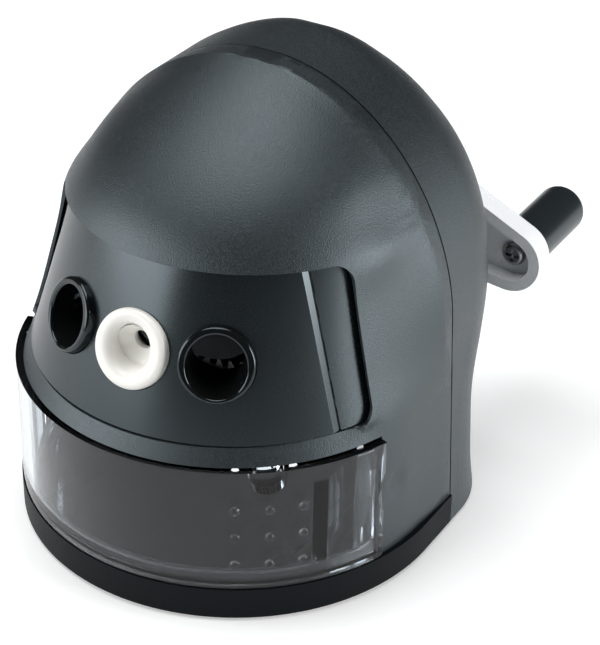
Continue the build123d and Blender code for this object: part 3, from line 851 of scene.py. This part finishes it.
@dataclass
class Housing:
    """The two shells, the base with its feet, and what is screwed to them, in millimetres."""

    finishes: Mapping[str, Finish] = field(
        default_factory=lambda: {
            "front_shell": GRAINED_BLACK,
            "rear_shell": GRAINED_BLACK,
            "base_plate": SHADED_BASE_BLACK,
            "rubber_feet": FOOT_RUBBER,
            "base_screws": SCREW_STEEL,
            "case_screws": SCREW_STEEL,
            "frame_screws": SCREW_STEEL,
            "mechanism_frame": FRAME_BLACK,
            "ring_gear": GEAR_BLACK,
            "rear_bush": BUSH_BRASS,
        }
    )

    # The rear shell's own form (old), and the fuller one that its corners and back are moved to.
    arch_width: float = 42.4
    arch_spring: float = 45.0
    body_height: float = 95.0
    seam_set: float = 11.0
    back_bulge: float = 43.0
    old_level: float = 20.0
    old_bulge_z: float = 50.0
    full_level: float = 24.5
    full_bulge_z: float = 53.0
    corner: float = 22.0
    top_corner: float = 16.5
    full_z: float = 80.0
    corner_share: float = 0.9
    depth_share: float = 0.85
    top_flat: float = 1e-4
    least_run: float = 0.1
    skin_depth: float = 0.4
    # The lip: how far it is drawn in at each angle from the front, and what share of that at each height.
    lip_top: float = 38.3
    lip_face: float = 41.2
    lip_in_by_deg: Stops = ((15.0, 0.9), (45.0, 1.5), (62.0, 1.5), (72.0, 0.0))
    lip_share_by_z: Stops = ((34.75, 0.0), (37.8, 1.0))

    def back(self, z: float, level: float, bulge_z: float) -> float:
        """How far the back stands behind the dome's axis above its fullest height.

        Args:
            z: The height.
            level: How far it stands back at the top.
            bulge_z: Its fullest height.
        Returns:
            The reach in millimetres.
        """
        rise = min((z - bulge_z) / (self.body_height - bulge_z), 1.0)
        return level + (self.back_bulge - level) * math.sqrt(1 - max(rise, 0.0) ** 2)

    def shoulder(self, spot: Vector) -> Vector:
        """Fills out the rear shell's upper corners and back.

        Args:
            spot: A corner of the shell, in millimetres.
        Returns:
            Its new place.
        """
        x, y, z = spot
        if z <= self.full_bulge_z or z >= self.body_height:
            return spot
        axis, seam = dome_axis(), self.seam_set
        y -= axis
        rise = (z - self.arch_spring) / (self.body_height - self.arch_spring)
        half = self.arch_width * math.sqrt(max(1 - rise**2, self.top_flat))
        old = self.back(z, self.old_level, self.old_bulge_z)
        new = self.back(z, self.full_level, self.full_bulge_z)
        r_old = min(self.corner, self.corner_share * half, self.depth_share * (old - seam))
        r_new = r_old * ramp(z, ((self.full_bulge_z, 1.0), (self.full_z, self.top_corner / self.corner)))
        across, behind = abs(x) - (half - r_old), y - (old - r_old)
        side = math.copysign(1.0, x)
        if across > 0 and behind > 0:
            if math.hypot(across, behind) < r_old - self.skin_depth:
                return spot
            turn = math.atan2(behind, across)
            x = side * (half - r_new + r_new * math.cos(turn))
            y = new - r_new + r_new * math.sin(turn)
        elif across <= 0 and old - y < self.skin_depth:
            x *= (half - r_new) / (half - r_old)
            y += new - old
        elif behind <= 0 and half - abs(x) < self.skin_depth and y > seam:
            y = seam + (y - seam) * (new - r_new - seam) / max(old - r_old - seam, self.least_run)
        return Vector((x, y + axis, z))

    def lip(self, spot: Vector) -> Vector:
        """Draws in the lip under the window.

        Args:
            spot: A corner of the front shell, in millimetres.
        Returns:
            Its new place.
        """
        out = Vector((spot.x, spot.y - dome_axis(), 0.0))
        if spot.z > self.lip_top or out.length < self.lip_face:
            return spot
        depth = ramp(off_front(spot), self.lip_in_by_deg) * ramp(spot.z, self.lip_share_by_z)
        return spot - out.normalized() * depth

    def build(self, wardrobe: Wardrobe) -> None:
        """Dresses the housing and works its two shells.

        Args:
            wardrobe: Where the finishes come from.
        """
        wardrobe.dress(self.finishes)
        for node, work in (("rear_shell", self.shoulder), ("front_shell", self.lip)):
            skin = Skin(node)
            skin.move(work)
            skin.stand_in(Body.HOUSING, Slot.GRAIN, wardrobe.of(self.finishes[node]))


@dataclass
class Selector:
    """The turning panel with its white bush and its two glossy rings, in millimetres."""

    finishes: Mapping[str, Finish] = field(
        default_factory=lambda: {
            "selector_panel": SATIN_BLACK,
            "pencil_bush": WARM_WHITE,
            "left_guide": GLOSS_BLACK,
            "right_guide": GLOSS_BLACK,
        }
    )

    slab_low: float = 38.45
    slab_high: float = 69.05
    slab_low_deg: float = 60.0
    slab_high_deg: float = 56.0
    low_reach: float = 41.2
    high_reach: float = 30.1
    # The lift of the outer face by the distance past an end plane, and its share by the angle from the front.
    ends: Stops = ((-1.3, 0.58), (0.0, 0.10), (0.05, -0.25), (0.45, -0.25), (0.5, 0.15))
    far: Stops = ((63.0, 1.0), (68.0, 0.0))
    feel_mm: float = 0.2
    face_band: tuple[float, float] = (-0.3, 0.8)
    window_low: float = 38.1
    window_height: float = 31.3
    lean_r: float = 42.3
    lean_slope: float = 0.313
    lean_curve: float = 0.0015
    dome_shift: float = 5.0
    wing_drop: float = 1.6
    bore_z: float = 53.1
    stop_at: float = 32.5
    stop_profile: Stops = ((4.03, 2.2), (1.9, 0.0), (1.9, -1.0), (4.03, -1.0))
    stop_steps: int = 40

    def end_plane(self, side: int) -> tuple[Vector, Vector]:
        """The slanted plane in which the slab ends.

        Args:
            side: 1 for the right end, -1 for the left.
        Returns:
            A point of the plane and the way out of the slab, in millimetres.
        """
        across = direction(side * self.slab_low_deg)
        foot = across * self.low_reach + Vector((0.0, dome_axis(), self.slab_low))
        head = direction(side * self.slab_high_deg) * self.high_reach
        along = head + Vector((0.0, dome_axis(), self.slab_high)) - foot
        return foot, along.cross(across).normalized() * side

    def depth(self, spot: Vector) -> float:
        """How far a corner stands out of the panel's plain outer face.

        Args:
            spot: The corner, in millimetres.
        Returns:
            The distance in millimetres, below zero inside.
        """
        lift = spot.z - self.window_low
        slope = self.lean_slope + 2 * self.lean_curve * lift
        reach = self.lean_r - self.lean_slope * lift - self.lean_curve * lift**2
        reach -= self.wing_drop * math.hypot(1, slope)
        shift = self.dome_shift * (lift / self.window_height) ** 2
        return math.hypot(spot.x, spot.y - dome_axis() - shift) - reach - shift

    def face_normal(self, spot: Vector, middle: Vector) -> Vector | None:
        """The normal of the panel's curved face, tilted on the bevels of the slab's ends.

        Args:
            spot: A corner, in millimetres.
            middle: The middle of the corner's facet.
        Returns:
            The normal, or None where the corner isn't on the face.
        """
        inmost, outmost = self.face_band
        if not inmost < self.depth(spot) < outmost:
            return None
        lift = spot.z - self.window_low
        shift = self.dome_shift * (lift / self.window_height) ** 2
        grow = 2 * self.dome_shift * lift / self.window_height**2
        out = Vector((spot.x, spot.y - dome_axis() - shift, 0.0)).normalized()
        rise = self.lean_slope + 2 * self.lean_curve * lift - grow * (1 + out.y)
        normal = Vector((out.x, out.y, rise)).normalized()
        (start, high), (end, low) = self.ends[:2]
        for foot, away in (self.end_plane(side) for side in (1, -1)):
            if start < (middle - foot).dot(away) < end:
                normal += away * (high - low) / (end - start)
        return normal.normalized()

    def raise_slab(self) -> Skin:
        """Raises the slab on the panel, with its bevelled ends and the grooves beside them.

        Returns:
            The worked panel.
        """
        skin = Skin("selector_panel")
        planes = [self.end_plane(side) for side in (1, -1)]
        for foot, out in planes:
            for step, _ in self.ends:
                skin.cut(foot + out * step, out)

        def lifted(spot: Vector) -> Vector:
            """Lifts a corner of the outer face.

            Args:
                spot: The corner, in millimetres.
            Returns:
                Its new place.
            """
            if abs(self.depth(spot)) > self.feel_mm:
                return spot
            away = Vector((spot.x, spot.y - dome_axis(), 0.0)).normalized()
            past = max((spot - foot).dot(out) for foot, out in planes)
            return spot + away * ramp(past, self.ends) * ramp(off_front(spot), self.far)

        skin.move(lifted)
        return skin

    def bore_stop(self, wardrobe: Wardrobe) -> None:
        """Turns the funnel at the inner end of the white bush's bore.

        Args:
            wardrobe: Where the finish comes from.
        """
        work = bmesh.new()
        spots = [Vector((r, dome_axis() - self.stop_at - up, self.bore_z)) for r, up in self.stop_profile]
        start = [work.verts.new(spot * MM) for spot in spots]
        edges = [work.edges.new((a, b)) for a, b in zip(start, start[1:] + start[:1])]
        middle = Vector((0.0, dome_axis(), self.bore_z)) * MM
        bmesh.ops.spin(
            work,
            geom=[*start, *edges],
            cent=middle,
            axis=(0.0, 1.0, 0.0),
            angle=math.tau,
            steps=self.stop_steps,
            use_merge=True,
        )
        bmesh.ops.remove_doubles(work, verts=work.verts, dist=MERGE)
        bmesh.ops.recalc_face_normals(work, faces=work.faces)
        mesh = formed("bush_funnel", work, wardrobe.of(WARM_WHITE))
        mount(fresh_object("bush_funnel", mesh), Body.SELECTOR)

    def build(self, wardrobe: Wardrobe) -> None:
        """Dresses the selector, raises its slab and ends the bush's bore.

        Args:
            wardrobe: Where the finishes come from.
        """
        wardrobe.dress(self.finishes)
        self.raise_slab().stand_in(Body.SELECTOR, Slot.SATIN, wardrobe.of(SATIN_BLACK), self.face_normal)
        self.bore_stop(wardrobe)


@dataclass
class Drawer:
    """The clear drawer that catches the shavings, in millimetres."""

    finishes: Mapping[str, Finish] = field(default_factory=lambda: {"shavings_drawer": DRAWER_CLEAR})

    inner_r: float = 42.3
    box_half: float = 37.6
    end_deg: float = 70.5
    foot_z: float = 10.5
    head_z: float = 33.4
    end_steps: int = 6
    end_back: float = 1.0
    hard_angle: float = 0.5
    round_mm: float = 0.7
    round_steps: int = 3
    rail_z: tuple[float, float] = (8.4, 10.9)
    rail_slope: tuple[float, float] = (0.5, 0.3)
    rail_r: float = 41.4
    rail_deg: float = 70.0
    rail_steps: int = 60

    def ends(self, wardrobe: Wardrobe) -> None:
        """Makes the thick clear end behind each end of the drawer's front.

        Args:
            wardrobe: Where the finish comes from.
        """
        work = bmesh.new()
        for side in (1, -1):
            first = math.degrees(math.asin(self.box_half / self.inner_r))
            sweep = (self.end_deg - first) / self.end_steps
            steps = [math.radians(first + sweep * k) for k in range(self.end_steps + 1)]
            plan = [(side * self.inner_r * math.sin(a), -self.inner_r * math.cos(a)) for a in steps]
            plan.append((side * self.box_half, plan[-1][1] + self.end_back))
            floor = [work.verts.new(Vector((x, y + dome_axis(), self.foot_z)) * MM) for x, y in plan]
            face = work.faces.new(floor)
            raised = bmesh.ops.extrude_face_region(work, geom=[face])["geom"]
            tops = [item for item in raised if isinstance(item, bmesh.types.BMVert)]
            bmesh.ops.translate(work, verts=tops, vec=(0.0, 0.0, (self.head_z - self.foot_z) * MM))
        bmesh.ops.recalc_face_normals(work, faces=work.faces)
        hard = [edge for edge in work.edges if edge.calc_face_angle(0.0) > self.hard_angle]
        bmesh.ops.bevel(
            work,
            geom=hard,
            offset=self.round_mm * MM,
            segments=self.round_steps,
            profile=0.5,
            affect="EDGES",
        )
        mesh = formed("drawer_ends", work, wardrobe.of(DRAWER_CLEAR))
        mount(fresh_object("drawer_ends", mesh), Body.DRAWER)

    def rail(self, wardrobe: Wardrobe) -> None:
        """Makes the clear rail behind the lower edge of the drawer's front.

        Args:
            wardrobe: Where the finish comes from.
        """
        work = bmesh.new()
        low, high = self.rail_z
        inward, upward = self.rail_slope
        peak = (self.inner_r - inward, high + upward)
        section = ((self.inner_r, low), (self.inner_r, high), peak, (self.rail_r, low))
        rings = []
        for k in range(self.rail_steps + 1):
            out = direction(self.rail_deg * (2 * k / self.rail_steps - 1))
            spots = [out * r + Vector((0.0, dome_axis(), z)) for r, z in section]
            rings.append([work.verts.new(spot * MM) for spot in spots])
        for first, last in zip(rings, rings[1:]):
            for k in range(len(section)):
                work.faces.new((first[k], last[k], last[k - 1], first[k - 1]))
        work.faces.new(rings[0])
        work.faces.new(rings[-1])
        bmesh.ops.recalc_face_normals(work, faces=work.faces)
        mesh = formed("drawer_rail", work, wardrobe.of(RAIL_CLEAR), smooth=False)
        mount(fresh_object("drawer_rail", mesh), Body.DRAWER)

    def build(self, wardrobe: Wardrobe) -> None:
        """Dresses the drawer and thickens its ends and its lower edge.

        Args:
            wardrobe: Where the finishes come from.
        """
        wardrobe.dress(self.finishes)
        self.ends(wardrobe)
        self.rail(wardrobe)


@dataclass
class Crank:
    """The white arm with its free grip, and the shaft that carries the cutter."""

    finishes: Mapping[str, Finish] = field(
        default_factory=lambda: {
            "crank_arm": COOL_WHITE,
            "grip": GRIP_BLACK,
            "grip_axle": SCREW_STEEL,
            "crank_screw": SCREW_STEEL,
            "crank_shaft": SHAFT_STEEL,
            "cutter_carrier": SHADED_CARRIER_ZINC,
            "cutter_axle": SHAFT_STEEL,
            "helical_cutter": CUTTER_STEEL,
            "cutter_pinion": CUTTER_STEEL,
        }
    )

    def build(self, wardrobe: Wardrobe) -> None:
        """Dresses the crank and the cutter.

        Args:
            wardrobe: Where the finishes come from.
        """
        wardrobe.dress(self.finishes)


@dataclass(frozen=True)
class SoftBox:
    """A soft studio lamp that faces the object."""

    name: str
    azimuth: float
    elevation: float
    distance: float
    width: float
    height: float
    power: float
    colour: Colour = (1.0, 1.0, 1.0)

    def build(self, aim: Vector) -> None:
        """Hangs the lamp.

        Args:
            aim: The point that it faces.
        """
        data = bpy.data.lights.new(self.name, "AREA")
        data.shape = "RECTANGLE"
        data.size, data.size_y = self.width, self.height
        data.energy, data.color = self.power, self.colour
        lamp = bpy.data.objects.new(self.name, data)
        bpy.context.scene.collection.objects.link(lamp)
        back = direction(self.azimuth, self.elevation)
        lamp.location = aim + back * self.distance
        lamp.rotation_euler = back.to_track_quat("Z", "Y").to_euler()
        log.info("%s hung", self.name)


@dataclass
class Studio:
    """A pale floor, soft lamps and the camera of the photograph."""

    azimuth: float = 30.371
    elevation: float = 31.901
    roll: float = 1.063
    distance_mm: float = 400.46
    focal_px: float = 2001.21
    aim_mm: tuple[float, float, float] = (10.793, 6.294, 39.957)
    floor_side: float = 6.0
    floor_colour: Colour = (0.88, 0.885, 0.89)
    paper_mm: float = 60.0
    paper_shade: float = 0.995
    lift: float = 0.30
    ambient: float = 0.045
    boxes: tuple[SoftBox, ...] = (
        SoftBox("top_box", -100.0, 80.0, 0.9, 0.66, 0.66, 6.5),
        SoftBox("right_box", 104.0, 12.0, 0.8, 0.42, 0.42, 5.6),
        SoftBox("left_box", -42.0, 16.0, 0.9, 0.95, 0.44, 6.8),
    )

    def aim(self) -> Vector:
        """The point that the camera looks at, which goes with the axis that the selector turns on."""
        across, ahead, up = self.aim_mm
        return Vector((across, dome_axis() + ahead, up)) * MM

    def camera(self) -> None:
        """Stands the camera where the photograph was taken from."""
        data = bpy.data.cameras.new("camera")
        data.sensor_width = SENSOR
        data.lens = self.focal_px / PICTURE_LONG_SIDE * SENSOR
        data.clip_start, data.clip_end = 0.01, 20.0
        camera = bpy.data.objects.new("camera", data)
        bpy.context.scene.collection.objects.link(camera)
        back = direction(self.azimuth, self.elevation)
        spin = Matrix.Rotation(math.radians(self.roll), 3, back)
        level = back.to_track_quat("Z", "Y").to_matrix()
        camera.rotation_euler = (spin @ level).to_euler()
        camera.location = self.aim() + back * self.distance_mm * MM
        bpy.context.scene.camera = camera

    def floor(self) -> None:
        """Lays the floor, which shows a little paler to the camera than its light makes it."""
        half = self.floor_side / 2
        mesh = bpy.data.meshes.new("floor")
        corners = [(-half, -half, 0), (half, -half, 0), (half, half, 0), (-half, half, 0)]
        mesh.from_pydata(corners, [], [(0, 1, 2, 3)])
        surface = Surface("floor_paper", Roughness=0.9, Specular_IOR_Level=0.0)
        graph = surface.graph
        tone = graph.noise(graph.place(), self.paper_mm)
        colour = graph.blend(tone, shaded(self.floor_colour, self.paper_shade), self.floor_colour)
        surface.shader.inputs["Emission Strength"].default_value = self.lift
        rays = graph.add("ShaderNodeLightPath", out="Is Camera Ray")
        rays = rays.either(graph.add("ShaderNodeLightPath", out="Is Glossy Ray"))
        rays = rays.either(graph.add("ShaderNodeLightPath", out="Is Transmission Ray"))
        glow = graph.blend(rays, (0.0, 0.0, 0.0), (1.0, 1.0, 1.0))
        mesh.materials.append(surface.varies(Base_Color=colour, Emission_Color=glow))
        fresh_object("floor", mesh)

    def world(self) -> None:
        """Sets a low even light all round, which shows white where the camera sees it."""
        world = bpy.data.worlds.new("studio")
        world.use_nodes = True
        bpy.context.scene.world = world
        graph = Graph(world.node_tree)
        seen = graph.add("ShaderNodeLightPath", out="Is Camera Ray")
        strength = self.ambient + seen * (1.0 - self.ambient)
        graph.feed(world.node_tree.nodes["Background"].inputs["Color"], (1.0, 1.0, 1.0, 1.0))
        graph.feed(world.node_tree.nodes["Background"].inputs["Strength"], strength)

    def build(self) -> None:
        """Sets the stage, the lamps and the camera."""
        bpy.context.scene.view_settings.view_transform = "Standard"
        self.floor()
        self.world()
        for box in self.boxes:
            box.build(self.aim())
        self.camera()


def main() -> None:
    """Builds every sub-assembly and the studio."""
    logging.basicConfig(level=logging.INFO, format="%(name)s: %(message)s")
    wardrobe = Wardrobe()
    for assembly in (Housing(), Selector(), Drawer(), Crank(), ScrewThreads()):
        assembly.build(wardrobe)
    Studio().build()


if __name__ == "__main__":
    main()
